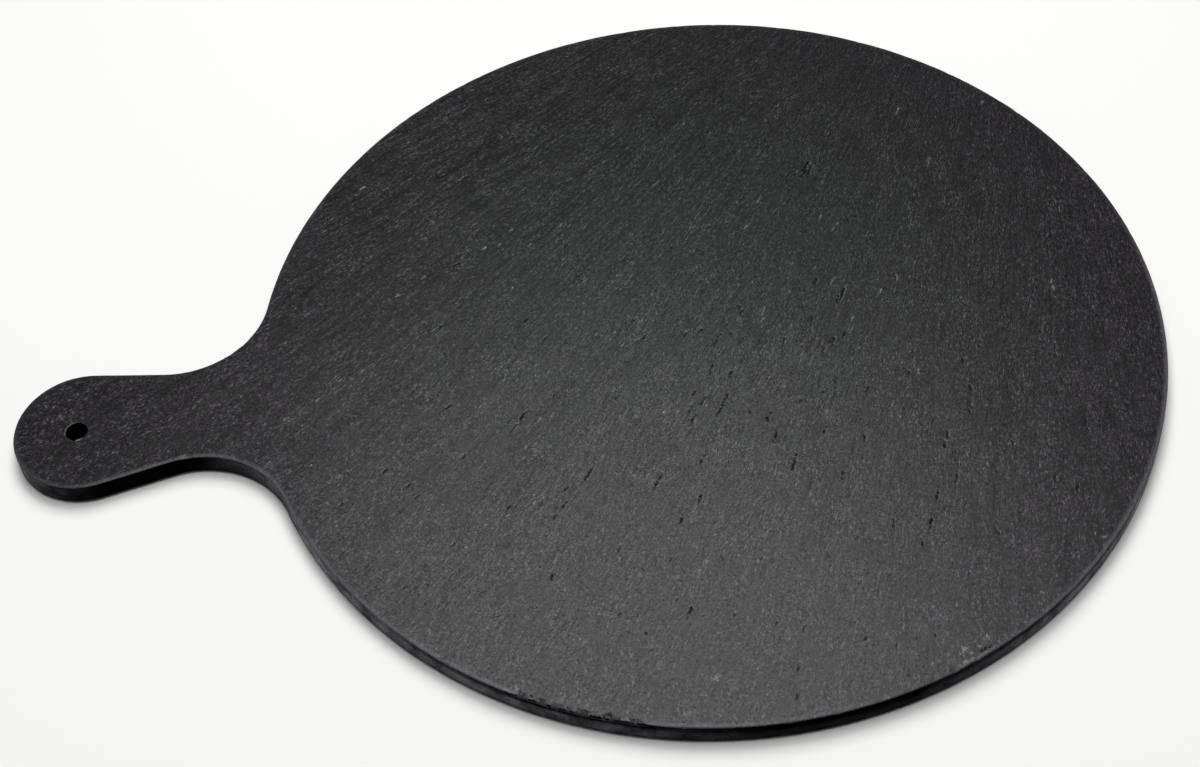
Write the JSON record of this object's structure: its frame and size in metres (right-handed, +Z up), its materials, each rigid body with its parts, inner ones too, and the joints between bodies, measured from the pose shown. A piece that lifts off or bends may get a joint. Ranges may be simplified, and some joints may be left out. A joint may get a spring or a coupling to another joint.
{
  "type": "slate serving board",
  "caption": "Round slab of dark slate with a short paddle handle and a hang hole, standing on stick-on rubber feet, for serving food.",
  "frame": {"origin": "on the table, under the middle of the board's length and width", "axes": "+X from the handle towards the disc, +Y away from the person it is served to, +Z up"},
  "size_m": [0.3804, 0.3, 0.0085],
  "materials": {
    "slate": "riven slate, dry and matt with a faint sheen, sawn edges",
    "foot_rubber": "matt moulded rubber",
    "foot_adhesive": "pressure-sensitive acrylic adhesive"
  },
  "bodies": {
    "root": {"slate_board": "slate", "foot_front_left": "foot_rubber", "foot_front_right": "foot_rubber", "foot_back_left": "foot_rubber", "foot_back_right": "foot_rubber", "adhesive_front_left": "foot_adhesive", "adhesive_front_right": "foot_adhesive", "adhesive_back_left": "foot_adhesive", "adhesive_back_right": "foot_adhesive"}
  },
  "joints": []
}
